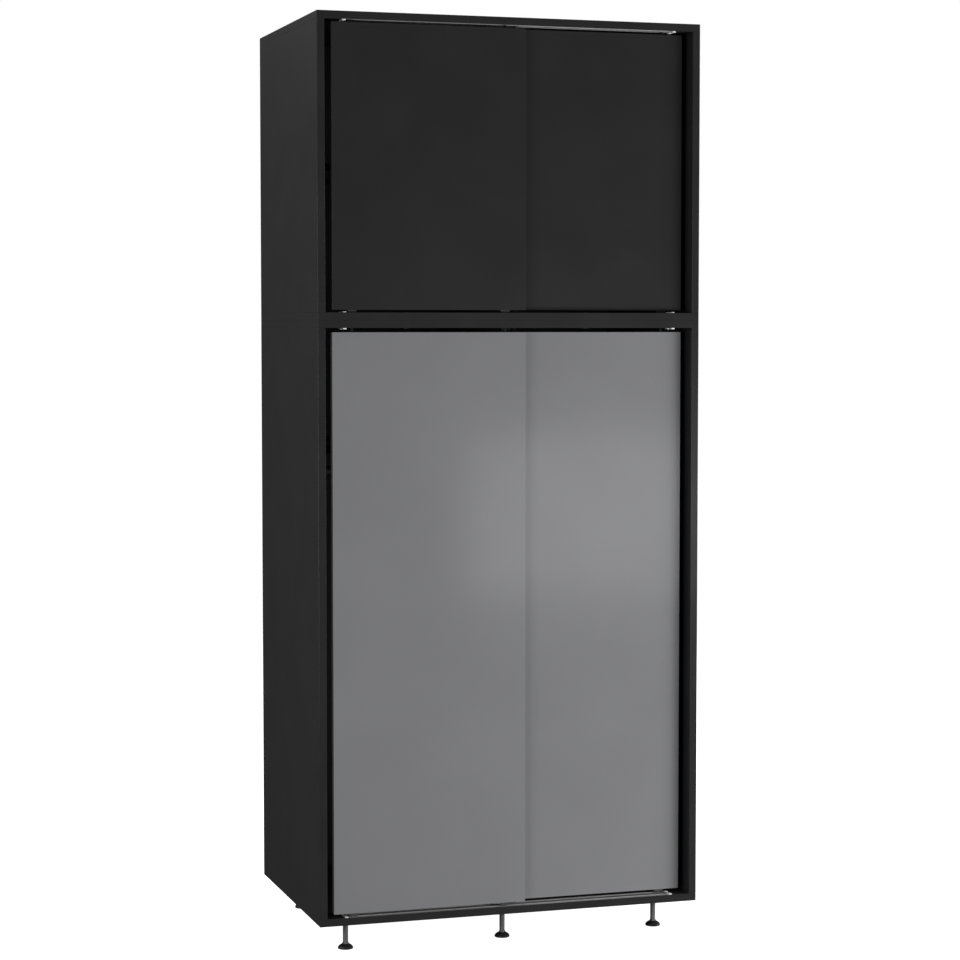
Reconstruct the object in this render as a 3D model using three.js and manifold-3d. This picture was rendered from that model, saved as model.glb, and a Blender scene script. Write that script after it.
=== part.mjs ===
// A free-standing wardrobe on six levelling feet: an upper carcass stands on a lower one, and each is closed
// by two sliding doors. Millimetres. X is to the right, Y to the back and Z up. The origin is on the floor,
// under the middle of the carcass.
import * as THREE from 'three';
import { mergeVertices } from 'three/addons/utils/BufferGeometryUtils.js';
import Module from 'manifold-3d';

// Carcass
const WIDTH = 1000;
const DEPTH = 640;
const LOWER_HEIGHT = 1500;
const UPPER_HEIGHT = 750;
const BOARD = 19;
const BACK_THICKNESS = 8;
const BACK_INSET = 10;
const BACK_TONGUE = 8;
const GROOVE_DEPTH = 8.5;
const GROOVE_PLAY = 0.3;

// Inside
const DIVIDER_SETBACK = 56;
const SHELF_SETBACK = 66;
const HAT_SHELF_DROP = 290;
const LOWER_SPACES = 4;
const RAIL_RADIUS = 12.5;
const RAIL_WALL = 1.5;
const RAIL_DROP = 60;
const SOCKET_RADIUS = 17;
const SOCKET_WIDTH = 9;
const SOCKET_POCKET = 6;

// Doors: the left one of each pair runs in front
const DOOR_THICKNESS = 18;
const DOOR_WIDTH = 498.5;
const DOOR_SIDE_GAP = 18;
const DOOR_FACE = 4.5;
const LANE_SPACING = 27;
const LOWER_DOOR_GAPS = { below: 9.5, above: 10.5 };
const UPPER_DOOR_GAPS = { below: 6.5, above: 6.5 };

// Tracks
const TRACK_LENGTH = 870;
const FLANGE_HALF = 10;
const FLANGE_THICKNESS = 1.2;
const CHANNEL_WALL = 1.2;
const BOTTOM_CHANNEL = { half: 2.6, depth: 2 };
const TOP_CHANNEL = { half: 4, depth: 10 };
const STOP_LENGTH = 8;
const STOP_HEIGHT = 2.2;
const STOP_SLOPE = 1.4;
const BRIDGE_LENGTH = 4;
const BRIDGE_HEIGHT = 1.6;

// Rollers and guide pins
const ROLLER_INSET = 52;
const ROLLER_RADIUS = 14.8;
const ROLLER_HALF = 2;
const ROLLER_HEIGHT = 13;
const TREAD_CHAMFER = 0.5;
const STUB_RADIUS = 2;
const STUB_REACH = 7;
const STUB_PLAY = 0.2;
const POCKET_PLAY = 2;
const POCKET_HALF = 2.6;
const GUIDE_SHANK = { radius: 4, length: 15 };
const GUIDE_COLLAR = { radius: 5, height: 1 };
const GUIDE_PIN_RADIUS = 3.5;
const GUIDE_PIN_CHAMFER = 1;
const GUIDE_REACH = 4.5;
const GUIDE_PLAY = 0.3;

// Feet
const FOOT_HEIGHT = 78;
const FOOT_INSET_X = 86;
const FOOT_INSET_Y = 85;
const SPINDLE_RADIUS = 7;
const SPINDLE_START = 6.5;
const SPINDLE_DEPTH = 14;
const SPINDLE_PLAY = 0.3;
const COLLAR = { low: 12.9, high: 15.3, radius: 8.8, chamfer: 0.8 };
const PAD_OUTLINE = [
  [18.2, 0], [19.3, 0.5], [19.6, 1.5], [19.6, 2.5], [18.9, 3.8], [9.4, 12.1], [8.8, 12.5], [7.5, 12.5],
];
const PAD_SOCKET_FLOOR = 6;

// Sides of a round piece
const ROUND_SIDES = 24;
const ROD_SIDES = 16;
const SMALL_SIDES = 12;
const TINY = 0.3;
const OVERCUT = 1;

const LEFT = -WIDTH / 2;
const RIGHT = WIDTH / 2;
const FRONT = -DEPTH / 2;
const BACK = DEPTH / 2;
const INNER_LEFT = LEFT + BOARD;
const INNER_RIGHT = RIGHT - BOARD;
const BACK_FACE = BACK - BACK_INSET - BACK_THICKNESS;
const LANES = {
  front: FRONT + DOOR_FACE + DOOR_THICKNESS / 2,
  rear: FRONT + DOOR_FACE + DOOR_THICKNESS / 2 + LANE_SPACING,
};

const wasm = await Module();
wasm.setup();

const material = (color, roughness, metalness) =>
  new THREE.MeshStandardMaterial({ color, roughness, metalness });
const BLACK_BOARD = material(0x1b1b1b, 0.5, 0);
const GREY_GLOSS = material(0x77777a, 0.2, 0);
const BLACK_SATIN = material(0x1c1c1c, 0.4, 0);
const ALUMINIUM = material(0xb4b4b4, 0.35, 1);
const STEEL = material(0xc0c0c0, 0.25, 1);
const BLACK_METAL = material(0x1c1c1c, 0.5, 0);
const NYLON = material(0x2a2a2a, 0.6, 0);
const RUBBER = material(0x141414, 0.7, 0);

const group = new THREE.Group();

function add(name, geometry, look, [x, y, z] = [0, 0, 0]) {
  const mesh = new THREE.Mesh(geometry, look);
  mesh.name = name;
  mesh.position.set(x, y, z);
  group.add(mesh);
  return mesh;
}

// A block between two corners.
function block([x0, x1], [y0, y1], [z0, z1]) {
  const geometry = new THREE.BoxGeometry(x1 - x0, y1 - y0, z1 - z0);
  return geometry.translate((x0 + x1) / 2, (y0 + y1) / 2, (z0 + z1) / 2);
}

// A turned piece about Z, from [radius, height] points that start and end on the axis.
function turned(outline, sides) {
  const points = outline.map(([radius, height]) => new THREE.Vector2(radius, height));
  return new THREE.LatheGeometry(points, sides).rotateX(Math.PI / 2);
}

// A round bar along Z, to cut a hole.
function bar(radius, [x, y], [z0, z1], sides) {
  return turned([[0, z0], [radius, z0], [radius, z1], [0, z1]], sides).translate(x, y, 0);
}

// A section drawn in Y and Z, swept along X.
function sweptAlongX(points, [x0, x1]) {
  const shape = new THREE.Shape(points.map(([y, z]) => new THREE.Vector2(y, z)));
  const geometry = new THREE.ExtrudeGeometry(shape, { depth: x1 - x0, bevelEnabled: false });
  const yzx = new THREE.Matrix4().set(0, 0, 1, x0, 1, 0, 0, 0, 0, 1, 0, 0, 0, 0, 0, 1);
  return geometry.applyMatrix4(yzx);
}

function toSolid(geometry) {
  const bare = geometry.clone();
  bare.deleteAttribute('normal');
  bare.deleteAttribute('uv');
  const merged = mergeVertices(bare, 1e-4);
  return new wasm.Manifold(new wasm.Mesh({
    numProp: 3,
    vertProperties: new Float32Array(merged.attributes.position.array),
    triVerts: new Uint32Array(merged.index.array),
  }));
}

function fromSolid(solid) {
  const mesh = solid.getMesh();
  const geometry = new THREE.BufferGeometry();
  geometry.setAttribute('position', new THREE.BufferAttribute(mesh.vertProperties, 3));
  geometry.setIndex(new THREE.BufferAttribute(mesh.triVerts, 1));
  geometry.computeVertexNormals();
  return geometry;
}

function cut(geometry, cutters) {
  return fromSolid(cutters.reduce((solid, cutter) => solid.subtract(toSolid(cutter)), toSolid(geometry)));
}

function join(geometries) {
  return fromSolid(geometries.map(toSolid).reduce((a, b) => a.add(b)));
}

// The rebates that a twin track sits in, level with the panel: a deep one for each channel and a shallow one
// for its flanges. side is 1 on a face that looks up, -1 on one that looks down.
function trackSlots(face, side, channel) {
  const past = face + side * OVERCUT;
  const length = [-TRACK_LENGTH / 2 - TINY, TRACK_LENGTH / 2 + TINY];
  const rebate = (y, half, depth) => {
    const floor = face - side * (depth + TINY);
    const reach = half + TINY;
    return block(length, [y - reach, y + reach], [Math.min(floor, past), Math.max(floor, past)]);
  };
  return Object.values(LANES).flatMap((y) => [
    rebate(y, channel.half + CHANNEL_WALL, channel.depth + CHANNEL_WALL),
    rebate(y, FLANGE_HALF, FLANGE_THICKNESS),
  ]);
}

// The groove that a horizontal panel has for the back panel.
function backGroove(face, side) {
  const floor = face - side * GROOVE_DEPTH;
  const past = face + side * OVERCUT;
  const span = [Math.min(floor, past), Math.max(floor, past)];
  const reach = GROOVE_DEPTH + TINY;
  return block(
    [INNER_LEFT - reach, INNER_RIGHT + reach],
    [BACK_FACE - GROOVE_PLAY, BACK_FACE + BACK_THICKNESS + GROOVE_PLAY],
    span,
  );
}

const FOOT_PLACES = {
  front_left: [LEFT + FOOT_INSET_X, FRONT + FOOT_INSET_Y],
  front_middle: [0, FRONT + FOOT_INSET_Y],
  front_right: [RIGHT - FOOT_INSET_X, FRONT + FOOT_INSET_Y],
  rear_left: [LEFT + FOOT_INSET_X, BACK - FOOT_INSET_Y],
  rear_middle: [0, BACK - FOOT_INSET_Y],
  rear_right: [RIGHT - FOOT_INSET_X, BACK - FOOT_INSET_Y],
};

// One carcass. The bottom and top panels run the full width and cap the sides.
function addCarcass(unit, base, height, bottomHoles) {
  const floor = base + BOARD;
  const ceiling = base + height - BOARD;
  const depth = [FRONT, BACK];
  const groove = (x0, x1) => block(
    [x0, x1],
    [BACK_FACE - GROOVE_PLAY, BACK_FACE + BACK_THICKNESS + GROOVE_PLAY],
    [base, base + height],
  );
  add(`${unit}_bottom_panel`, cut(block([LEFT, RIGHT], depth, [base, floor]), [
    ...trackSlots(floor, 1, BOTTOM_CHANNEL), backGroove(floor, 1), ...bottomHoles,
  ]), BLACK_BOARD);
  add(`${unit}_top_panel`, cut(block([LEFT, RIGHT], depth, [ceiling, base + height]), [
    ...trackSlots(ceiling, -1, TOP_CHANNEL), backGroove(ceiling, -1),
  ]), BLACK_BOARD);
  add(`${unit}_left_side`, cut(
    block([LEFT, INNER_LEFT], depth, [floor, ceiling]),
    [groove(INNER_LEFT - GROOVE_DEPTH, INNER_LEFT + OVERCUT)],
  ), BLACK_BOARD);
  add(`${unit}_right_side`, cut(
    block([INNER_RIGHT, RIGHT], depth, [floor, ceiling]),
    [groove(INNER_RIGHT - OVERCUT, INNER_RIGHT + GROOVE_DEPTH)],
  ), BLACK_BOARD);
  add(`${unit}_back_panel`, block(
    [INNER_LEFT - BACK_TONGUE, INNER_RIGHT + BACK_TONGUE],
    [BACK_FACE, BACK_FACE + BACK_THICKNESS],
    [floor - BACK_TONGUE, ceiling + BACK_TONGUE],
  ), BLACK_BOARD);
  add(`${unit}_divider`, block(
    [-BOARD / 2, BOARD / 2], [FRONT + DIVIDER_SETBACK, BACK_FACE], [floor, ceiling],
  ), BLACK_BOARD);
}

// A shelf in the left or right half, by the height of its top face.
function addShelf(name, half, top) {
  const x = half === 'left' ? [INNER_LEFT, -BOARD / 2] : [BOARD / 2, INNER_RIGHT];
  add(name, block(x, [FRONT + SHELF_SETBACK, BACK_FACE], [top - BOARD, top]), BLACK_BOARD);
}

// The hanging rail runs across the left half, with each end in a round socket.
function addHangingRail(height) {
  const y = (FRONT + SHELF_SETBACK + BACK_FACE) / 2;
  const length = -BOARD / 2 - INNER_LEFT;
  const half = length / 2 - (SOCKET_WIDTH - SOCKET_POCKET) - TINY;
  const inner = RAIL_RADIUS - RAIL_WALL;
  const tube = [[inner, -half], [RAIL_RADIUS, -half], [RAIL_RADIUS, half], [inner, half], [inner, -half]];
  const middle = INNER_LEFT + length / 2;
  add('hanging_rail', turned(tube, ROUND_SIDES).rotateY(Math.PI / 2), BLACK_METAL, [middle, y, height]);
  const rim = RAIL_RADIUS + TINY;
  const floor = SOCKET_WIDTH - SOCKET_POCKET;
  const socket = [
    [0, 0], [SOCKET_RADIUS, 0], [SOCKET_RADIUS, SOCKET_WIDTH], [rim, SOCKET_WIDTH], [rim, floor], [0, floor],
  ];
  const facingRight = turned(socket, ROUND_SIDES).rotateY(Math.PI / 2);
  const facingLeft = turned(socket, ROUND_SIDES).rotateY(-Math.PI / 2);
  add('rail_socket_left', facingRight, BLACK_METAL, [INNER_LEFT, y, height]);
  add('rail_socket_right', facingLeft, BLACK_METAL, [-BOARD / 2, y, height]);
}

// A twin track: two channels with flat flanges, let in level with the panel, and a raised stop at each end.
function addTrack(name, face, side, channel) {
  const { half, depth } = channel;
  const deep = depth + CHANNEL_WALL;
  const wall = half + CHANNEL_WALL;
  const rail = [
    [-FLANGE_HALF, -FLANGE_THICKNESS], [-wall, -FLANGE_THICKNESS], [-wall, -deep],
    [wall, -deep], [wall, -FLANGE_THICKNESS], [FLANGE_HALF, -FLANGE_THICKNESS],
    [FLANGE_HALF, 0], [half, 0], [half, -depth], [-half, -depth], [-half, 0], [-FLANGE_HALF, 0],
  ];
  const end = TRACK_LENGTH / 2;
  const lanes = [-LANE_SPACING / 2, LANE_SPACING / 2];
  const pieces = lanes.map((y) => sweptAlongX(rail, [-end, end]).translate(0, y, 0));
  for (const way of [-1, 1]) {
    const near = way * (end - STOP_LENGTH);
    const root = -FLANGE_THICKNESS / 2;
    const stop = [
      [near, root], [near, STOP_HEIGHT], [way * (end - STOP_SLOPE), STOP_HEIGHT],
      [way * end, STOP_HEIGHT - STOP_SLOPE], [way * end, root],
    ];
    const outline = way > 0 ? stop.reverse() : stop;
    for (const y of lanes) {
      const shape = new THREE.Shape(outline.map(([x, z]) => new THREE.Vector2(x, z)));
      const bead = new THREE.ExtrudeGeometry(shape, { depth: 2 * FLANGE_HALF, bevelEnabled: false });
      pieces.push(bead.rotateX(Math.PI / 2).translate(0, y + FLANGE_HALF, 0));
    }
    const bridgeMiddle = way * (end - STOP_LENGTH / 2);
    pieces.push(block(
      [bridgeMiddle - BRIDGE_LENGTH / 2, bridgeMiddle + BRIDGE_LENGTH / 2],
      [-LANE_SPACING / 2, LANE_SPACING / 2],
      [0, BRIDGE_HEIGHT],
    ));
  }
  const track = join(pieces);
  const turnedOver = side > 0 ? track : track.rotateX(Math.PI);
  add(name, turnedOver, ALUMINIUM, [0, (LANES.front + LANES.rear) / 2, face]);
}

// A roller turns about Y on stubs that run in blind holes in its door.
function addRoller(name, x, y, z) {
  const half = [
    [0, -STUB_REACH], [STUB_RADIUS, -STUB_REACH], [STUB_RADIUS, -ROLLER_HALF],
    [ROLLER_RADIUS - TREAD_CHAMFER, -ROLLER_HALF], [ROLLER_RADIUS, -ROLLER_HALF + TREAD_CHAMFER],
  ];
  const other = half.map(([radius, along]) => [radius, -along]).reverse();
  add(name, turned([...half, ...other], ROUND_SIDES).rotateX(Math.PI / 2), NYLON, [x, y, z]);
}

// A guide pin stands in the top of a door and runs in the channel over it.
function addGuide(name, x, y, top, gap) {
  const tip = gap + GUIDE_REACH;
  const outline = [
    [0, -GUIDE_SHANK.length], [GUIDE_SHANK.radius, -GUIDE_SHANK.length], [GUIDE_SHANK.radius, 0],
    [GUIDE_COLLAR.radius, 0], [GUIDE_COLLAR.radius, GUIDE_COLLAR.height],
    [GUIDE_PIN_RADIUS, GUIDE_COLLAR.height],
    [GUIDE_PIN_RADIUS, tip - GUIDE_PIN_CHAMFER], [GUIDE_PIN_RADIUS - GUIDE_PIN_CHAMFER, tip], [0, tip],
  ];
  add(name, turned(outline, SMALL_SIDES), NYLON, [x, y, top]);
}

// A door with its two rollers and two guide pins.
function addDoor(unit, lane, floor, ceiling, gaps, look) {
  const y = LANES[lane];
  const x0 = lane === 'front' ? INNER_LEFT + DOOR_SIDE_GAP : INNER_RIGHT - DOOR_SIDE_GAP - DOOR_WIDTH;
  const x1 = x0 + DOOR_WIDTH;
  const bottom = floor + gaps.below;
  const top = ceiling - gaps.above;
  const axle = floor + ROLLER_HEIGHT;
  const places = { left: x0 + ROLLER_INSET, right: x1 - ROLLER_INSET };
  const cutters = [];
  for (const x of Object.values(places)) {
    const reach = ROLLER_RADIUS + POCKET_PLAY;
    const stubReach = STUB_REACH + TINY;
    const shankFloor = top - GUIDE_SHANK.length - TINY;
    const stub = bar(STUB_RADIUS + STUB_PLAY, [0, 0], [-stubReach, stubReach], SMALL_SIDES);
    cutters.push(
      block([x - reach, x + reach], [y - POCKET_HALF, y + POCKET_HALF], [bottom - OVERCUT, axle + reach]),
      stub.rotateX(Math.PI / 2).translate(x, y, axle),
      bar(GUIDE_SHANK.radius + GUIDE_PLAY, [x, y], [shankFloor, top + OVERCUT], SMALL_SIDES),
    );
  }
  const half = DOOR_THICKNESS / 2;
  const name = `${unit}_${lane}_door`;
  add(name, cut(block([x0, x1], [y - half, y + half], [bottom, top]), cutters), look);
  for (const [side, x] of Object.entries(places)) {
    addRoller(`${name}_roller_${side}`, x, y, axle);
    addGuide(`${name}_guide_${side}`, x, y, top, gaps.above);
  }
}

// A foot: a steel spindle that screws into the bottom panel, and a pad that its lower end sits in.
function addFoot(place, x, y) {
  const { low, high, radius, chamfer } = COLLAR;
  add(`foot_spindle_${place}`, turned([
    [0, SPINDLE_START], [SPINDLE_RADIUS, SPINDLE_START], [SPINDLE_RADIUS, low], [radius, low],
    [radius, high - chamfer], [radius - chamfer, high], [SPINDLE_RADIUS, high],
    [SPINDLE_RADIUS, FOOT_HEIGHT + SPINDLE_DEPTH], [0, FOOT_HEIGHT + SPINDLE_DEPTH],
  ], ROD_SIDES), STEEL, [x, y, 0]);
  add(`foot_pad_${place}`, turned([
    [0, 0], ...PAD_OUTLINE, [SPINDLE_RADIUS + TINY, PAD_SOCKET_FLOOR], [0, PAD_SOCKET_FLOOR],
  ], ROUND_SIDES), RUBBER, [x, y, 0]);
}

const LOWER_BASE = FOOT_HEIGHT;
const UPPER_BASE = FOOT_HEIGHT + LOWER_HEIGHT;
const LOWER_FLOOR = LOWER_BASE + BOARD;
const LOWER_CEILING = UPPER_BASE - BOARD;
const UPPER_FLOOR = UPPER_BASE + BOARD;
const UPPER_CEILING = UPPER_BASE + UPPER_HEIGHT - BOARD;

const spindleHoles = Object.values(FOOT_PLACES).map((place) =>
  bar(SPINDLE_RADIUS + SPINDLE_PLAY, place, [LOWER_BASE - OVERCUT, LOWER_FLOOR + OVERCUT], ROD_SIDES));
addCarcass('lower', LOWER_BASE, LOWER_HEIGHT, spindleHoles);
addCarcass('upper', UPPER_BASE, UPPER_HEIGHT, []);

const hatShelf = LOWER_CEILING - HAT_SHELF_DROP;
addShelf('hat_shelf', 'left', hatShelf);
addHangingRail(hatShelf - BOARD - RAIL_DROP);
const lowerPitch = (LOWER_CEILING - LOWER_FLOOR + BOARD) / LOWER_SPACES;
for (let i = 1; i < LOWER_SPACES; i += 1) {
  addShelf(`lower_shelf_${i}`, 'right', LOWER_FLOOR + i * lowerPitch);
}
const upperShelf = (UPPER_FLOOR + UPPER_CEILING + BOARD) / 2;
addShelf('upper_shelf_left', 'left', upperShelf);
addShelf('upper_shelf_right', 'right', upperShelf);

addTrack('lower_bottom_track', LOWER_FLOOR, 1, BOTTOM_CHANNEL);
addTrack('lower_top_track', LOWER_CEILING, -1, TOP_CHANNEL);
addTrack('upper_bottom_track', UPPER_FLOOR, 1, BOTTOM_CHANNEL);
addTrack('upper_top_track', UPPER_CEILING, -1, TOP_CHANNEL);

for (const lane of Object.keys(LANES)) {
  addDoor('lower', lane, LOWER_FLOOR, LOWER_CEILING, LOWER_DOOR_GAPS, GREY_GLOSS);
  addDoor('upper', lane, UPPER_FLOOR, UPPER_CEILING, UPPER_DOOR_GAPS, BLACK_SATIN);
}

for (const [place, [x, y]] of Object.entries(FOOT_PLACES)) {
  addFoot(place, x, y);
}

export default group;
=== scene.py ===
import math

import bmesh
import bpy
from mathutils import Matrix, Vector


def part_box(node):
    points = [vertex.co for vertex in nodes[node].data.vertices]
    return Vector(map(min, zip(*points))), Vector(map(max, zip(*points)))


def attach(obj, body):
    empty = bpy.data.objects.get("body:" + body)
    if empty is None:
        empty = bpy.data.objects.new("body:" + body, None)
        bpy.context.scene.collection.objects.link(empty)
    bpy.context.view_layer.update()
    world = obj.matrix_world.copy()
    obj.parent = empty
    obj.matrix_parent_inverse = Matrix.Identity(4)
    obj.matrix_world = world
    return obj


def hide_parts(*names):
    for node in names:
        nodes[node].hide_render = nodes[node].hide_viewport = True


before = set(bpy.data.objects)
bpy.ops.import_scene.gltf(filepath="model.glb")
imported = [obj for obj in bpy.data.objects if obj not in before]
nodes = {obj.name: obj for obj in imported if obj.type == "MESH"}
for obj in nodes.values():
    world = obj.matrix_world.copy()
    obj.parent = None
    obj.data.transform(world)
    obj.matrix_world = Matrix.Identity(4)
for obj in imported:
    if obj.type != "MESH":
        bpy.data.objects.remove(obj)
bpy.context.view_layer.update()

# Looks for a sliding door wardrobe. Metres, in the shared frame: X to the right, Y to the back, Z up.

MM = 0.001
TAU = 2 * math.pi
ROUND = 48
UNITS = ("lower", "upper")
LANES = ("front", "rear")
SIDES = ("left", "right")
FOOT_PLACES = (
    "front_left", "front_middle", "front_right",
    "rear_left", "rear_middle", "rear_right",
)


# ---------------------------------------------------------------- mesh helpers

SHARP_ANGLE = math.radians(35)
BEVEL_ANGLE = math.radians(40)
WELD_GAP = 0.01 * MM


def piece(name, bm, material, body, replaced=()):
    """A new mesh object from bm, in place in the shared frame, that rides on a body."""
    mesh = bpy.data.meshes.new(name)
    bmesh.ops.recalc_face_normals(bm, faces=bm.faces)
    bm.to_mesh(mesh)
    bm.free()
    obj = bpy.data.objects.new(name, mesh)
    bpy.context.scene.collection.objects.link(obj)
    mesh.materials.append(material)
    smooth_by_angle(obj)
    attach(obj, body)
    if replaced:
        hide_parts(*replaced)
    return obj


def smooth_by_angle(obj):
    """Smooth shading, with sharp edges where the faces turn by more than SHARP_ANGLE."""
    mesh = obj.data
    mesh.polygons.foreach_set("use_smooth", [True] * len(mesh.polygons))
    mesh.set_sharp_from_angle(angle=SHARP_ANGLE)


def soften(obj, width, segments):
    """Bevels the edges of a CAD node with modifiers, and leaves its mesh as it is."""
    weld = obj.modifiers.new("weld", "WELD")
    weld.merge_threshold = WELD_GAP
    bevel = obj.modifiers.new("bevel", "BEVEL")
    bevel.width = width
    bevel.segments = segments
    bevel.limit_method = "ANGLE"
    bevel.angle_limit = BEVEL_ANGLE
    bevel.use_clamp_overlap = True
    bevel.harden_normals = True
    bevel.miter_outer = "MITER_ARC"


def add_rings(bm, rings, sides, place=Matrix.Identity(4)):
    """A closed body about local Z from (height, radius) rings. A radius may be a function of the angle."""
    loops = []
    for height, radius in rings:
        loop = []
        for i in range(sides):
            angle = TAU * i / sides
            r = radius(angle) if callable(radius) else radius
            point = Vector((r * math.cos(angle), r * math.sin(angle), height))
            loop.append(bm.verts.new(place @ point))
        loops.append(loop)
    for low, high in zip(loops, loops[1:]):
        for i in range(sides):
            j = (i + 1) % sides
            bm.faces.new((low[i], low[j], high[j], high[i]))
    bm.faces.new(loops[0])
    bm.faces.new(loops[-1])


def add_tube(bm, outline, sides, place=Matrix.Identity(4)):
    """A ring-shaped body about local Z from a closed (radius, height) outline that stays off the axis."""
    loops = []
    for radius, height in outline:
        loop = []
        for i in range(sides):
            angle = TAU * i / sides
            point = Vector((radius * math.cos(angle), radius * math.sin(angle), height))
            loop.append(bm.verts.new(place @ point))
        loops.append(loop)
    for low, high in zip(loops, loops[1:] + loops[:1]):
        for i in range(sides):
            j = (i + 1) % sides
            bm.faces.new((low[i], low[j], high[j], high[i]))


def add_box(bm, low, high, bevel, segments=2):
    """A block between two corners with rounded edges."""
    size = Vector(high) - Vector(low)
    middle = (Vector(high) + Vector(low)) / 2
    place = Matrix.Translation(middle) @ Matrix.Diagonal(size).to_4x4()
    made = bmesh.ops.create_cube(bm, size=1.0, matrix=place)
    edges = dict.fromkeys(edge for vert in made["verts"] for edge in vert.link_edges)
    bmesh.ops.bevel(
        bm, geom=list(edges), offset=bevel, segments=segments, affect="EDGES", profile=0.5
    )


def arc(centre, radius, start, end, steps):
    """Points on an arc, by angles in degrees."""
    points = []
    for i in range(steps + 1):
        angle = math.radians(start + (end - start) * i / steps)
        points.append((centre[0] + radius * math.cos(angle), centre[1] + radius * math.sin(angle)))
    return points


def polygon(corners, apothem):
    """The radius function of a regular polygon. apothem is from its centre to a side."""
    sector = TAU / corners

    def radius(angle):
        return apothem / math.cos(angle % sector - sector / 2)

    return radius


def cross(reach, half_width):
    """The radius function of a cross recess with four arms."""

    def radius(angle):
        off = abs((angle + math.pi / 4) % (math.pi / 2) - math.pi / 4)
        return min(reach / math.cos(off), half_width / max(math.sin(off), 0.001))

    return radius


def facing(point, direction):
    """A matrix that stands local Z on a point along a direction."""
    turn = Vector(direction).to_track_quat("Z", "Y").to_matrix().to_4x4()
    return Matrix.Translation(point) @ turn


def add_screw(bm, point, direction, radius, height, slotted=True):
    """A low domed screw head with a cross recess, or a hexagon socket if it isn't slotted."""
    recess = cross(0.62 * radius, 0.13 * radius) if slotted else polygon(6, 0.42 * radius)
    depth = 0.7 * height
    add_rings(bm, [
        (0.0, radius),
        (0.35 * height, radius),
        (0.75 * height, 0.9 * radius),
        (height, 0.72 * radius),
        (height, recess),
        (height - depth, recess),
    ], ROUND, facing(point, direction))


# ---------------------------------------------------------------- materials

NOISE_LOW = 0.35
NOISE_HIGH = 0.65
FACES_Y = 0.6


class Shader:
    """A Principled material with short calls for its nodes."""

    def __init__(self, name, roughness, metallic=0.0, specular=0.5):
        self.material = bpy.data.materials.new(name)
        self.material.use_nodes = True
        self.tree = self.material.node_tree
        self.surface = self.tree.nodes["Principled BSDF"]
        self.set("Roughness", roughness)
        self.set("Metallic", metallic)
        self.set("Specular IOR Level", specular)
        self.place = self.node("ShaderNodeTexCoord").outputs["Object"]

    def set(self, socket, value):
        self.surface.inputs[socket].default_value = value

    def node(self, kind, **settings):
        made = self.tree.nodes.new(kind)
        for key, value in settings.items():
            setattr(made, key, value)
        return made

    def link(self, output, target):
        self.tree.links.new(output, target)

    def noise(self, scale, detail=3.0, stretch=(1.0, 1.0, 1.0)):
        """Noise in the piece's own coordinates. scale counts its waves in a metre."""
        mapping = self.node("ShaderNodeMapping")
        mapping.inputs["Scale"].default_value = stretch
        self.link(self.place, mapping.inputs["Vector"])
        noise = self.node("ShaderNodeTexNoise")
        noise.inputs["Scale"].default_value = scale
        noise.inputs["Detail"].default_value = detail
        self.link(mapping.outputs["Vector"], noise.inputs["Vector"])
        return noise.outputs["Fac"]

    def span(self, noise, low, high):
        """Maps the range in which most of a noise lies to low..high."""
        mapped = self.node("ShaderNodeMapRange")
        mapped.inputs["From Min"].default_value = NOISE_LOW
        mapped.inputs["From Max"].default_value = NOISE_HIGH
        mapped.inputs["To Min"].default_value = low
        mapped.inputs["To Max"].default_value = high
        self.link(noise, mapped.inputs["Value"])
        return mapped.outputs["Result"]

    def colours(self, value, low, high):
        """The base colour as a mix of two colours by a value from 0 to 1."""
        mix = self.node("ShaderNodeMix", data_type="RGBA")
        mix.inputs["A"].default_value = (*low, 1.0)
        mix.inputs["B"].default_value = (*high, 1.0)
        self.link(value, mix.inputs["Factor"])
        self.link(mix.outputs["Result"], self.surface.inputs["Base Color"])

    def rough(self, value):
        self.link(value, self.surface.inputs["Roughness"])

    def bump(self, height, strength, distance):
        bump = self.node("ShaderNodeBump")
        bump.inputs["Strength"].default_value = strength
        bump.inputs["Distance"].default_value = distance
        self.link(height, bump.inputs["Height"])
        self.link(bump.outputs["Normal"], self.surface.inputs["Normal"])


def grey(value):
    return (value, value, value)


def edge_mask(shader, along_y):
    """1 on the faces that look along Y and 0 on the rest, or the other way round if along_y is false."""
    normal = shader.node("ShaderNodeSeparateXYZ")
    shader.link(shader.node("ShaderNodeNewGeometry").outputs["True Normal"], normal.inputs["Vector"])
    size = shader.node("ShaderNodeMath", operation="ABSOLUTE")
    shader.link(normal.outputs["Y"], size.inputs[0])
    test = shader.node("ShaderNodeMath", operation="GREATER_THAN" if along_y else "LESS_THAN")
    test.inputs[1].default_value = FACES_Y
    shader.link(size.outputs["Value"], test.inputs[0])
    return test.outputs["Value"]


def rough_with_band(shader, face, band, along_y):
    """Roughness face on a board's faces, and band on its edges, which edge_mask tells apart."""
    mix = shader.node("ShaderNodeMix")
    mix.inputs["B"].default_value = band
    shader.link(face, mix.inputs["A"])
    shader.link(edge_mask(shader, along_y), mix.inputs["Factor"])
    shader.rough(mix.outputs["Result"])


def make_board():
    """Black melamine: a fine pearl texture, with slow changes in sheen, and smoother edge bands in front."""
    shader = Shader("black_melamine", 0.45, specular=0.45)
    shader.colours(shader.span(shader.noise(9.0, 4.0), 0.0, 1.0), grey(0.0185), grey(0.0215))
    rough_with_band(shader, shader.span(shader.noise(5.0, 3.0), 0.43, 0.45), 0.2, along_y=True)
    shader.bump(shader.noise(1500.0, 2.0), 0.12, 0.0002)
    return shader.material


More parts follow.
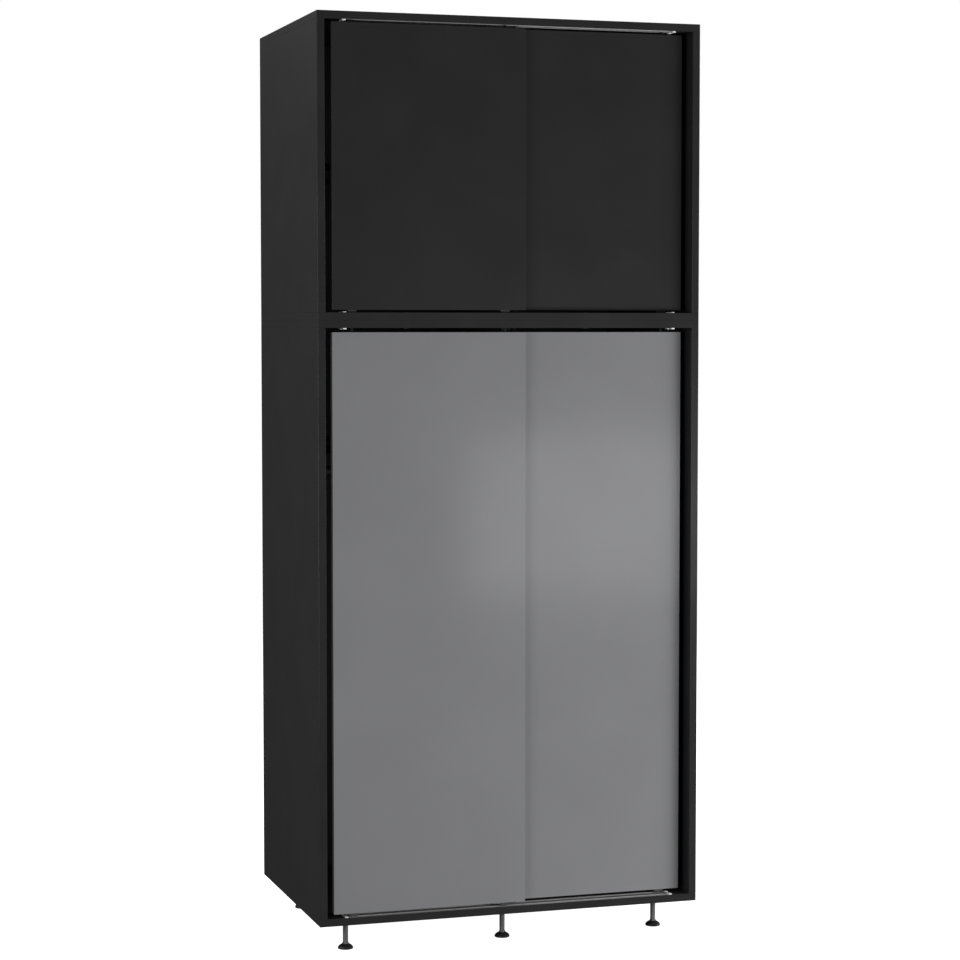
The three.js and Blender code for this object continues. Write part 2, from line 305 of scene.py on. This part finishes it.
def make_back_board():
    """Thin lacquered fibreboard: a faint long grain."""
    shader = Shader("black_lacquered_fibreboard", 0.55, specular=0.4)
    shader.colours(
        shader.span(shader.noise(60.0, 5.0, stretch=(1.0, 1.0, 0.15)), 0.0, 1.0),
        grey(0.018), grey(0.025),
    )
    shader.rough(shader.span(shader.noise(7.0), 0.54, 0.58))
    shader.bump(shader.noise(900.0, 3.0, stretch=(1.0, 1.0, 0.3)), 0.15, 0.0002)
    return shader.material


def make_gloss_grey():
    """Grey high gloss laminate: slight orange peel under a clear face."""
    shader = Shader("grey_high_gloss_laminate", 0.13, specular=0.5)
    shader.colours(
        shader.span(shader.noise(4.0, 3.0), 0.0, 1.0), (0.172, 0.173, 0.178), (0.180, 0.181, 0.186)
    )
    rough_with_band(shader, shader.span(shader.noise(11.0, 4.0), 0.125, 0.14), 0.3, along_y=False)
    shader.bump(shader.noise(180.0, 1.0), 0.02, 0.0002)
    return shader.material


def make_satin_black():
    """Black satin laminate: a very fine soft texture."""
    shader = Shader("black_satin_laminate", 0.36, specular=0.45)
    shader.colours(shader.span(shader.noise(6.0, 4.0), 0.0, 1.0), grey(0.0175), grey(0.020))
    shader.rough(shader.span(shader.noise(8.0, 4.0), 0.35, 0.37))
    shader.bump(shader.noise(2200.0, 1.0), 0.06, 0.0001)
    return shader.material


def make_aluminium():
    """Satin anodised aluminium, with fine lines along the extrusion."""
    shader = Shader("satin_anodised_aluminium", 0.3, metallic=0.55)
    lines = shader.noise(2600.0, 3.0, stretch=(0.01, 1.0, 1.0))
    shader.colours(shader.span(lines, 0.0, 1.0), grey(0.68), grey(0.80))
    shader.rough(shader.span(shader.noise(40.0, 3.0, stretch=(0.2, 1.0, 1.0)), 0.26, 0.36))
    shader.bump(lines, 0.12, 0.0001)
    return shader.material


def make_zinc():
    """Zinc plated steel, a little mottled."""
    shader = Shader("zinc_plated_steel", 0.3, metallic=0.65)
    shader.colours(shader.span(shader.noise(300.0, 4.0), 0.0, 1.0), grey(0.23), grey(0.31))
    shader.rough(shader.span(shader.noise(500.0, 3.0), 0.22, 0.38))
    return shader.material


def make_black_metal():
    """Black powder coat with its fine grain."""
    shader = Shader("black_powder_coat", 0.5)
    shader.colours(shader.span(shader.noise(80.0), 0.0, 1.0), grey(0.016), grey(0.022))
    shader.rough(shader.span(shader.noise(30.0), 0.42, 0.55))
    shader.bump(shader.noise(2500.0, 2.0), 0.2, 0.0002)
    return shader.material


def make_painted_highlight_stop_metal():
    """The cast end stops, brighter and less metallic than the track: a lighter copy of its aluminium that
    paints a highlight on the stops.
    """
    shader = Shader("end_stop_painted_highlight", 0.3, metallic=0.3)
    shader.colours(shader.span(shader.noise(500.0, 3.0), 0.0, 1.0), grey(0.86), grey(0.94))
    shader.rough(shader.span(shader.noise(400.0, 3.0), 0.24, 0.34))
    return shader.material


def make_nylon():
    """Dull black nylon."""
    shader = Shader("black_nylon", 0.6, specular=0.2)
    shader.colours(shader.span(shader.noise(150.0, 4.0), 0.0, 1.0), grey(0.006), grey(0.010))
    shader.rough(shader.span(shader.noise(220.0, 3.0), 0.55, 0.7))
    return shader.material


def make_tyre():
    """Dull grey polyurethane."""
    shader = Shader("grey_polyurethane", 0.6, specular=0.2)
    shader.colours(shader.span(shader.noise(150.0, 4.0), 0.0, 1.0), grey(0.048), grey(0.056))
    shader.rough(shader.span(shader.noise(220.0, 3.0), 0.55, 0.65))
    return shader.material


def make_pad_plastic():
    """Moulded black plastic with the faint grain of its mould."""
    shader = Shader("black_moulded_plastic", 0.4)
    shader.colours(shader.span(shader.noise(200.0, 4.0), 0.0, 1.0), grey(0.010), grey(0.016))
    shader.rough(shader.span(shader.noise(300.0, 3.0), 0.34, 0.48))
    shader.bump(shader.noise(1800.0, 2.0), 0.15, 0.0002)
    return shader.material


def make_bearing_steel():
    """Ground steel."""
    shader = Shader("bearing_steel", 0.2, metallic=1.0)
    shader.colours(shader.span(shader.noise(400.0), 0.0, 1.0), grey(0.5), grey(0.6))
    shader.rough(shader.span(shader.noise(600.0), 0.15, 0.28))
    return shader.material


BOARD = make_board()
BACK_BOARD = make_back_board()
GLOSS_GREY = make_gloss_grey()
SATIN_BLACK = make_satin_black()
ALUMINIUM = make_aluminium()
ZINC = make_zinc()
PAINTED_HIGHLIGHT_STOP_METAL = make_painted_highlight_stop_metal()
BLACK_METAL = make_black_metal()
NYLON = make_nylon()
TYRE = make_tyre()
PAD_PLASTIC = make_pad_plastic()
BEARING_STEEL = make_bearing_steel()


# ---------------------------------------------------------------- boards and doors

PANELS = [f"{unit}_{part}" for unit in UNITS for part in (
    "bottom_panel", "top_panel", "left_side", "right_side", "divider",
)]
SHELVES = [name for name in nodes if "shelf" in name]
DOORS = [f"{unit}_{lane}_door" for unit in UNITS for lane in LANES]


def dress(node, material, bevel, segments=2):
    """Gives a CAD node its material and softened edges."""
    obj = nodes[node]
    obj.data.materials.clear()
    obj.data.materials.append(material)
    soften(obj, bevel, segments)


for name in PANELS + SHELVES:
    dress(name, BOARD, 0.6 * MM)
for unit in UNITS:
    dress(f"{unit}_back_panel", BACK_BOARD, 0.4 * MM)
    for level in ("bottom", "top"):
        dress(f"{unit}_{level}_track", ALUMINIUM, 0.4 * MM, 3)
for name in DOORS:
    dress(name, GLOSS_GREY if name.startswith("lower") else SATIN_BLACK, 0.7 * MM, 3)


# ---------------------------------------------------------------- feet

SPINDLE_RADIUS = 7 * MM
SPINDLE_END_GAP = 0.4 * MM
THREAD_PITCH = 1.5 * MM
THREAD_DEPTH = 0.45 * MM
THREAD_FLAT = 0.1
THREAD_SIDES = 24
ROWS_PER_TURN = 8
# The pad's cone from its rim to its crown, as parts of the pad's height and radius.
PAD_CONE = ((0.48, 0.93), (0.64, 0.83), (0.80, 0.68), (0.93, 0.54), (1.0, 0.48))


def add_thread(bm, x, y, low, high, radius):
    """A threaded rod, as one closed grid whose radius follows the helix."""
    rows = round((high - low) / THREAD_PITCH * ROWS_PER_TURN)
    loops = []
    for row in range(rows + 1):
        z = low + (high - low) * row / rows
        loop = []
        for i in range(THREAD_SIDES):
            phase = (z / THREAD_PITCH - i / THREAD_SIDES) % 1.0
            flank = (abs(2 * phase - 1) - THREAD_FLAT) / (1 - 2 * THREAD_FLAT)
            r = radius - THREAD_DEPTH * min(max(flank, 0.0), 1.0)
            angle = TAU * i / THREAD_SIDES
            loop.append(bm.verts.new((x + r * math.cos(angle), y + r * math.sin(angle), z)))
        loops.append(loop)
    for below, above in zip(loops, loops[1:]):
        for i in range(THREAD_SIDES):
            j = (i + 1) % THREAD_SIDES
            bm.faces.new((below[i], below[j], above[j], above[i]))
    bm.faces.new(loops[0])
    bm.faces.new(loops[-1])


def add_collar(bm, bottom, corner_radius, axis):
    """A hexagon collar with its corners chamfered at both ends."""
    top = bottom + 2.4 * MM
    hexagon = polygon(6, corner_radius * math.cos(math.pi / 6))
    chamfered = 0.93 * corner_radius

    def bounded(angle):
        return min(hexagon(angle), chamfered)

    add_rings(bm, [
        (bottom, bounded),
        (bottom + 0.4 * MM, hexagon),
        (top - 0.5 * MM, hexagon),
        (top, bounded),
    ], 72, axis)


def pad_outline(radius, height):
    """(height, radius) points: a flat base, a round rim, the cone, and a short mouth around the spindle."""
    rim = 1.9 * MM
    mouth = SPINDLE_RADIUS + 0.5 * MM
    outline = [(0.0, radius - 1.2 * MM)]
    outline += [(z, r) for r, z in arc((radius - rim, rim), rim, -65, 30, 8)]
    outline += [(z * height, r * radius) for z, r in PAD_CONE]
    outline += [(height, mouth), (height - 1.5 * MM, mouth)]
    return outline


def add_insert(bm, base, axis):
    """The flange, with three screws, of the insert that a spindle screws into."""
    bore = SPINDLE_RADIUS + 0.4 * MM
    flange = 12.4 * MM
    face = base - 0.7 * MM
    screw_circle = 9.5 * MM
    add_tube(bm, [
        (bore, face), (flange - 0.4 * MM, face), (flange, face + 0.3 * MM), (flange, base), (bore, base),
    ], ROUND, axis)
    for i in range(3):
        angle = TAU * (i + 0.5) / 3
        spot = Vector((screw_circle * math.cos(angle), screw_circle * math.sin(angle), face))
        add_screw(bm, axis @ spot, (0, 0, -1), 1.6 * MM, 0.5 * MM)


def make_foot(place):
    """A threaded spindle, its hexagon collar and its pad, and the insert in the carcass over them."""
    spindle = f"foot_spindle_{place}"
    pad = f"foot_pad_{place}"
    body = f"foot_{place}"
    low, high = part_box(spindle)
    x = (low.x + high.x) / 2
    y = (low.y + high.y) / 2
    axis = Matrix.Translation((x, y, 0))
    pad_low, pad_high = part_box(pad)

    rod = bmesh.new()
    add_thread(rod, x, y, low.z, high.z - SPINDLE_END_GAP, SPINDLE_RADIUS)
    threaded = piece(f"threaded_{spindle}", rod, ZINC, body, [spindle])
    threaded.data.shade_smooth()

    collar = bmesh.new()
    add_collar(collar, pad_high.z + 0.4 * MM, (high.x - low.x) / 2, axis)
    piece(f"foot_collar_{place}", collar, ZINC, body)

    dome = bmesh.new()
    add_rings(dome, pad_outline((pad_high.x - pad_low.x) / 2, pad_high.z), ROUND, axis)
    piece(f"moulded_{pad}", dome, PAD_PLASTIC, body, [pad])

    insert = bmesh.new()
    add_insert(insert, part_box("lower_bottom_panel")[0].z, axis)
    piece(f"foot_insert_{place}", insert, BLACK_METAL, "carcass")


for foot_place in FOOT_PLACES:
    make_foot(foot_place)


# ---------------------------------------------------------------- rollers and guides

ROLLER_HALF = 2 * MM
BEARING_RADIUS = 6.2 * MM


def both_halves(outline):
    """A (radius, height) outline's upper half, and its mirror image below the middle."""
    return outline + [(radius, -height) for radius, height in reversed(outline)]


def tyre_outline(radius):
    """A tyre with a round tread and a shallow groove in each face."""
    round_off = 0.9 * MM
    groove = 0.4 * MM
    return both_halves([
        (BEARING_RADIUS, ROLLER_HALF - 0.3 * MM), (BEARING_RADIUS + 1 * MM, ROLLER_HALF),
        (radius - 3.4 * MM, ROLLER_HALF), (radius - 3.1 * MM, ROLLER_HALF - groove),
        (radius - 2.5 * MM, ROLLER_HALF - groove), (radius - 2.2 * MM, ROLLER_HALF),
        *arc((radius - round_off, ROLLER_HALF - round_off), round_off, 90, 0, 5),
    ])


def bearing_outline():
    """A ball bearing whose shield is sunk between its two rings."""
    face = ROLLER_HALF - 0.35 * MM
    shield = face - 0.35 * MM
    return both_halves([
        (2.2 * MM, face), (3.2 * MM, face), (3.5 * MM, shield), (5.0 * MM, shield),
        (5.3 * MM, face), (BEARING_RADIUS - 0.05 * MM, face),
    ])


def add_roller_plate(bm, centre, radius, bottom):
    """A plate under the door, around the roller's pocket, with a screw at each end."""
    plate = bottom - 0.6 * MM
    pocket = Vector((radius + 1.6 * MM, 2.6 * MM))
    outer = Vector((radius + 9 * MM, 5.6 * MM))
    # The screws come first: what is added after a bevel is stored in an order that varies between runs.
    for way in (-1, 1):
        spot = (centre.x + way * (pocket.x + outer.x) / 2, centre.y, plate)
        add_screw(bm, spot, (0, 0, -1), 2.5 * MM, 0.4 * MM)
    for way in (-1, 1):
        ends = sorted((way * pocket.x, way * outer.x))
        walls = sorted((way * pocket.y, way * outer.y))
        add_box(
            bm,
            (centre.x + ends[0], centre.y - outer.y, plate),
            (centre.x + ends[1], centre.y + outer.y, bottom),
            0.2 * MM,
        )
        add_box(
            bm,
            (centre.x - pocket.x, centre.y + walls[0], plate),
            (centre.x + pocket.x, centre.y + walls[1], bottom),
            0.2 * MM,
        )


def make_roller(door, side):
    """A tyre on a ball bearing, which turns on an axle that the door holds."""
    node = f"{door}_roller_{side}"
    low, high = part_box(node)
    centre = (low + high) / 2
    radius = (high.z - low.z) / 2
    across = facing(centre, (0, 1, 0))

    tyre = bmesh.new()
    add_tube(tyre, tyre_outline(radius), ROUND, across)
    piece(f"{door}_tyre_{side}", tyre, TYRE, node, [node])

    bearing = bmesh.new()
    add_tube(bearing, bearing_outline(), ROUND, across)
    piece(f"{door}_bearing_{side}", bearing, BEARING_STEEL, node)

    axle = bmesh.new()
    reach = 7 * MM
    axle_radius = 2 * MM
    chamfer = 0.3 * MM
    add_rings(axle, [
        (-reach, axle_radius - chamfer), (-reach + chamfer, axle_radius),
        (reach - chamfer, axle_radius), (reach, axle_radius - chamfer),
    ], 24, across)
    piece(f"{door}_axle_{side}", axle, BEARING_STEEL, door)

    housing = bmesh.new()
    add_roller_plate(housing, centre, radius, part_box(door)[0].z)
    piece(f"{door}_roller_plate_{side}", housing, NYLON, door)


def make_guide(door, side):
    """A nylon guide: a stem in the door, a flange on its top and a pin with a round tip."""
    node = f"{door}_guide_{side}"
    low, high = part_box(node)
    centre = (low + high) / 2
    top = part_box(door)[1].z
    stem = 4 * MM
    flange = 5 * MM
    flange_top = top + 1 * MM
    pin = 3.5 * MM
    tip = 1.4 * MM
    outline = [
        (low.z, stem - 0.6 * MM), (low.z + 0.6 * MM, stem), (top, stem), (top, flange - 0.1 * MM),
        (top + 0.1 * MM, flange), (flange_top - 0.3 * MM, flange), (flange_top, flange - 0.3 * MM),
        (flange_top, pin + 0.4 * MM), (flange_top + 0.4 * MM, pin),
    ]
    outline += [(z, r) for r, z in arc((pin - tip, high.z - tip), tip, 0, 85, 5)]
    guide = bmesh.new()
    add_rings(guide, outline, 32, Matrix.Translation((centre.x, centre.y, 0)))
    piece(f"{door}_guide_pin_{side}", guide, NYLON, door, [node])


for door_name in DOORS:
    for door_side in SIDES:
        make_roller(door_name, door_side)
        make_guide(door_name, door_side)


# ---------------------------------------------------------------- hanging rail


def make_rail():
    """The tube, and the flanged socket that holds each end."""
    low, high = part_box("hanging_rail")
    y = (low.y + high.y) / 2
    z = (low.z + high.z) / 2
    radius = (high.z - low.z) / 2
    wall = 1.5 * MM
    tube = bmesh.new()
    along = facing((0, y, z), (1, 0, 0))
    add_tube(tube, [
        (radius - wall, low.x), (radius, low.x), (radius, high.x), (radius - wall, high.x),
    ], 64, along)
    piece("round_hanging_rail", tube, BLACK_METAL, "carcass", ["hanging_rail"])
    for side, way in (("left", 1), ("right", -1)):
        node = f"rail_socket_{side}"
        socket_low, socket_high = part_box(node)
        wall_x = socket_low.x if way > 0 else socket_high.x
        width = socket_high.x - socket_low.x
        outer = (socket_high.z - socket_low.z) / 2
        cup = radius + 0.3 * MM
        cup_floor = 3 * MM
        flange = 2.2 * MM
        socket = bmesh.new()
        add_rings(socket, [
            (0.0, outer), (flange - 0.6 * MM, outer), (flange, outer - 0.6 * MM),
            (flange, outer - 1.6 * MM), (width - 0.5 * MM, outer - 1.9 * MM), (width, outer - 2.3 * MM),
            (width, cup), (cup_floor, cup),
        ], 64, facing((wall_x, y, z), (way, 0, 0)))
        piece(f"flanged_rail_socket_{side}", socket, BLACK_METAL, "carcass", [node])


make_rail()


# ---------------------------------------------------------------- fittings

LANE_OFFSET = 13.5 * MM
CHANNEL_DEPTH_BELOW = 2 * MM
CHANNEL_DEPTH_ABOVE = 10 * MM
CAM_ROWS = (-190 * MM, 30 * MM, 240 * MM)
BOLT_COLUMNS = (-240 * MM, 240 * MM)
BOLT_ROWS = (-190 * MM, 230 * MM)


def make_shelf_pins(shelf):
    """Four flanged steel pins, which stand in the board on each side and hold the shelf."""
    low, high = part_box(shelf)
    pins = bmesh.new()
    radius = 2.5 * MM
    reach = 8 * MM
    flange = 3.8 * MM
    flange_width = 1.1 * MM
    inset = 37 * MM
    for x, way in ((low.x, 1), (high.x, -1)):
        for y in (low.y + inset, high.y - inset):
            add_rings(pins, [
                (0.0, radius), (reach - 0.5 * MM, radius), (reach, radius - 0.5 * MM),
            ], 20, facing((x, y, low.z - radius), (way, 0, 0)))
            add_rings(pins, [
                (0.0, flange), (flange_width - 0.3 * MM, flange),
                (flange_width, flange - 0.3 * MM), (flange_width, radius),
            ], 24, facing((x, y, low.z - flange), (way, 0, 0)))
    piece(f"{shelf}_pins", pins, ZINC, "carcass")


def make_cams(panel, x, way):
    """Cam fittings near the top and bottom of an upright, on its face at x that looks along way."""
    low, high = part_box(panel)
    cams = bmesh.new()
    radius = 7.5 * MM
    height = 0.6 * MM
    inset = 34 * MM
    recess = cross(4.2 * MM, 0.9 * MM)
    for z in (low.z + inset, high.z - inset):
        for y in CAM_ROWS:
            add_rings(cams, [
                (0.0, radius), (0.5 * height, radius), (height, radius - 0.4 * MM),
                (height, recess), (height - 0.5 * MM, recess),
            ], 48, facing((x, y, z), (way, 0, 0)))
    piece(f"{panel}_cams", cams, ZINC, "carcass")


def track_face(track, side):
    """The height of the panel face that a track is let into. side is 1 below the doors and -1 above."""
    unit = track.split("_")[0]
    if side > 0:
        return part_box(f"{unit}_bottom_panel")[1].z
    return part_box(f"{unit}_top_panel")[0].z


def make_track_screws(track, side):
    """Five countersunk screws along the floor of each channel."""
    low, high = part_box(track)
    middle_y = (low.y + high.y) / 2
    depth = CHANNEL_DEPTH_BELOW if side > 0 else CHANNEL_DEPTH_ABOVE
    floor = track_face(track, side) - side * depth
    screws = bmesh.new()
    for lane in (-LANE_OFFSET, LANE_OFFSET):
        for i in range(-2, 3):
            spot = (i * 195 * MM, middle_y + lane, floor)
            add_screw(screws, spot, (0, 0, side), 2.3 * MM, 0.15 * MM)
    piece(f"{track}_screws", screws, ZINC, "carcass")


def make_end_stops(track, side, height):
    """A rounded metal stop over each end of both channels, just outside the one in the track's mesh."""
    low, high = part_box(track)
    middle_y = (low.y + high.y) / 2
    face = track_face(track, side)
    length = 8 * MM
    cover = 0.1 * MM
    half_width = 10.1 * MM
    levels = sorted((face - side * 0.3 * MM, face + side * height))
    stops = bmesh.new()
    for lane in (-LANE_OFFSET, LANE_OFFSET):
        y = middle_y + lane
        for start, end in ((low.x, low.x + length), (high.x - length, high.x)):
            add_box(
                stops,
                (start - cover, y - half_width, levels[0]),
                (end + cover, y + half_width, levels[1]),
                0.8 * MM, 3,
            )
    # The stops take the lighter copy of the track's aluminium, which paints their highlight.
    piece(f"{track}_end_stops", stops, PAINTED_HIGHLIGHT_STOP_METAL, "carcass")


def make_connecting_bolts():
    """Four bolts through the two panels between the carcasses, with a head above and below each."""
    bolts = bmesh.new()
    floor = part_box("upper_bottom_panel")[1].z
    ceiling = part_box("lower_top_panel")[0].z
    for x in BOLT_COLUMNS:
        for y in BOLT_ROWS:
            for z, way in ((floor, 1), (ceiling, -1)):
                add_screw(bolts, (x, y, z), (0, 0, way), 7.5 * MM, 1.6 * MM, slotted=False)
    piece("connecting_bolts", bolts, ZINC, "carcass")


def make_hole_caps():
    """Plastic caps over the holes in the floor through which the feet are set."""
    caps = bmesh.new()
    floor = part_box("lower_bottom_panel")[1].z
    radius = 9 * MM
    for place in FOOT_PLACES:
        low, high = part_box(f"foot_spindle_{place}")
        middle = (low + high) / 2
        add_rings(caps, [
            (0.0, radius), (0.6 * MM, radius), (1.1 * MM, radius - 0.8 * MM), (1.3 * MM, radius - 2.5 * MM),
        ], ROUND, Matrix.Translation((middle.x, middle.y, floor)))
    piece("floor_hole_caps", caps, PAD_PLASTIC, "carcass")


for name in SHELVES:
    make_shelf_pins(name)
for unit in UNITS:
    make_cams(f"{unit}_left_side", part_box(f"{unit}_left_side")[1].x, 1)
    make_cams(f"{unit}_right_side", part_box(f"{unit}_right_side")[0].x, -1)
    make_cams(f"{unit}_divider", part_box(f"{unit}_divider")[1].x, 1)
    make_track_screws(f"{unit}_bottom_track", 1)
    make_track_screws(f"{unit}_top_track", -1)
    make_end_stops(f"{unit}_bottom_track", 1, 2.4 * MM)
    make_end_stops(f"{unit}_top_track", -1, 3.4 * MM)
make_connecting_bolts()
make_hole_caps()


# ---------------------------------------------------------------- stage, light and camera

FLOOR_REACH = 60.0
WHITE = (1.0, 1.0, 1.0, 1.0)
WORLD_LIGHT = 0.06
MIDDLE = (0.0, 0.0, 1.15)
WAIST = (0.0, 0.0, 0.9)
INSIDE_DEPTH = -0.25
INSIDE_WIDTH = 0.95
INSIDE_RADIANCE = 0.22
CAMERA_PLACE = (-1.961, -6.3141, 1.5604)
CAMERA_TILT = math.radians(-3.4656)
CAMERA_PAN = math.radians(-17.3724)


def make_floor():
    """A white floor that gives off its own light, and that neither lights the object nor mirrors in it."""
    mesh = bpy.data.meshes.new("studio_floor")
    bm = bmesh.new()
    bmesh.ops.create_grid(bm, x_segments=1, y_segments=1, size=FLOOR_REACH)
    bm.to_mesh(mesh)
    bm.free()
    floor = bpy.data.objects.new("studio_floor", mesh)
    bpy.context.scene.collection.objects.link(floor)
    shader = Shader("pale_floor", 0.9, specular=0.0)
    shader.colours(shader.noise(2.0), grey(0.78), grey(0.80))
    shader.set("Emission Color", WHITE)
    shader.set("Emission Strength", 1.0)
    shader.material.cycles.emission_sampling = "NONE"
    mesh.materials.append(shader.material)
    floor.visible_diffuse = False
    floor.visible_glossy = False


def make_world():
    """White to the camera, and a dim even light on the object."""
    world = bpy.data.worlds.new("studio")
    bpy.context.scene.world = world
    world.use_nodes = True
    tree = world.node_tree
    tree.nodes.clear()
    path = tree.nodes.new("ShaderNodeLightPath")
    seen = tree.nodes.new("ShaderNodeBackground")
    seen.inputs["Color"].default_value = WHITE
    seen.inputs["Strength"].default_value = 1.0
    lit = tree.nodes.new("ShaderNodeBackground")
    lit.inputs["Color"].default_value = WHITE
    lit.inputs["Strength"].default_value = WORLD_LIGHT
    mix = tree.nodes.new("ShaderNodeMixShader")
    out = tree.nodes.new("ShaderNodeOutputWorld")
    tree.links.new(path.outputs["Is Camera Ray"], mix.inputs["Fac"])
    tree.links.new(lit.outputs["Background"], mix.inputs[1])
    tree.links.new(seen.outputs["Background"], mix.inputs[2])
    tree.links.new(mix.outputs["Shader"], out.inputs["Surface"])


def add_softbox(name, place, target, size, radiance, glossy=True):
    """A rectangular light that faces a point. radiance is the brightness of its face."""
    data = bpy.data.lights.new(name, "AREA")
    data.shape = "RECTANGLE"
    data.size = size[0]
    data.size_y = size[1]
    data.energy = radiance * size[0] * size[1] * math.pi
    light = bpy.data.objects.new(name, data)
    bpy.context.scene.collection.objects.link(light)
    light.location = place
    aim = Vector(target) - Vector(place)
    light.rotation_euler = aim.to_track_quat("-Z", "Y").to_euler()
    light.visible_camera = False
    light.visible_glossy = glossy


def light_inside(unit, bottom, top):
    """A soft light behind the doors of one carcass, which looks at its back."""
    centre = (bottom + top) / 2
    place = (0.0, INSIDE_DEPTH, centre)
    size = (INSIDE_WIDTH, top - bottom)
    add_softbox(f"{unit}_inside", place, (0.0, 1.0, centre), size, INSIDE_RADIANCE)


make_floor()
make_world()
add_softbox("right_softbox", (1.30, -3.32, 0.86), (1.30, 0.0, 0.86), (1.0, 0.61), 1.48)
add_softbox("low_front_right", (3.0, -3.4, 0.55), WAIST, (2.4, 1.0), 18.9, glossy=False)
add_softbox("low_right", (3.8, -2.8, 0.55), WAIST, (2.0, 1.0), 17.5, glossy=False)
add_softbox("right_side", (4.35, -1.16, 1.15), MIDDLE, (2.0, 2.0), 3.85)
add_softbox("front_left", (-3.18, -3.18, 1.15), MIDDLE, (2.0, 2.0), 4.9)
add_softbox("left_side", (-4.5, 0.0, 1.15), MIDDLE, (2.0, 2.0), 1.95)
add_softbox("left_high", (-3.69, 0.0, 3.73), MIDDLE, (2.0, 2.0), 5.7)
add_softbox("rear_left", (-1.84, 3.19, 3.73), MIDDLE, (2.0, 2.0), 0.35)
light_inside("lower", 0.10, 1.55)
light_inside("upper", 1.60, 2.30)
add_softbox("back_fill", (2.6, 4.4, 2.6), MIDDLE, (2.4, 2.4), 5.0)


def make_camera():
    data = bpy.data.cameras.new("camera")
    data.sensor_width = 36.0
    data.lens = 94.515
    camera = bpy.data.objects.new("camera", data)
    bpy.context.scene.collection.objects.link(camera)
    camera.location = CAMERA_PLACE
    camera.rotation_euler = (math.pi / 2 + CAMERA_TILT, 0.0, CAMERA_PAN)
    bpy.context.scene.camera = camera


make_camera()
bpy.context.scene.view_settings.view_transform = "Standard"
